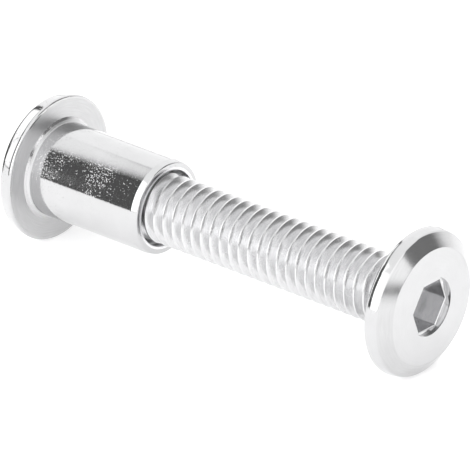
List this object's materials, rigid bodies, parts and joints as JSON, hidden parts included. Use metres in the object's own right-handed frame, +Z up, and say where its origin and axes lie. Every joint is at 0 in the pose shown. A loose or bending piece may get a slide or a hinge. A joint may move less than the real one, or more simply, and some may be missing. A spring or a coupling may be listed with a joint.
{
  "type": "connector bolt with sleeve nut",
  "caption": "Flat-headed hex socket connector bolt screwed part-way into a flanged sleeve nut; clamps panels back to back through a shared hole.",
  "frame": {"origin": "under the middle of the grip, on the surface that the two head rims lie on", "axes": "+X along the shared axis of bolt and nut, from the nut's head to the bolt's head; +Z up from the surface it lies on"},
  "size_m": [0.0414, 0.0126, 0.0125],
  "materials": {
    "bolt_plating": "bright nickel plate on steel, polished, with fine pits",
    "nut_plating": "bright nickel plate on steel, polished, with fine pits on the barrel"
  },
  "bodies": {
    "nut": {"sleeve_nut": "nut_plating"},
    "bolt": {"connector_bolt": "bolt_plating"}
  },
  "joints": [
    {"name": "bolt_travel", "type": "slide", "parent": "nut", "child": "bolt", "axis": [1, 0, 0], "range_m": [-0.004, 0.005]}
  ]
}
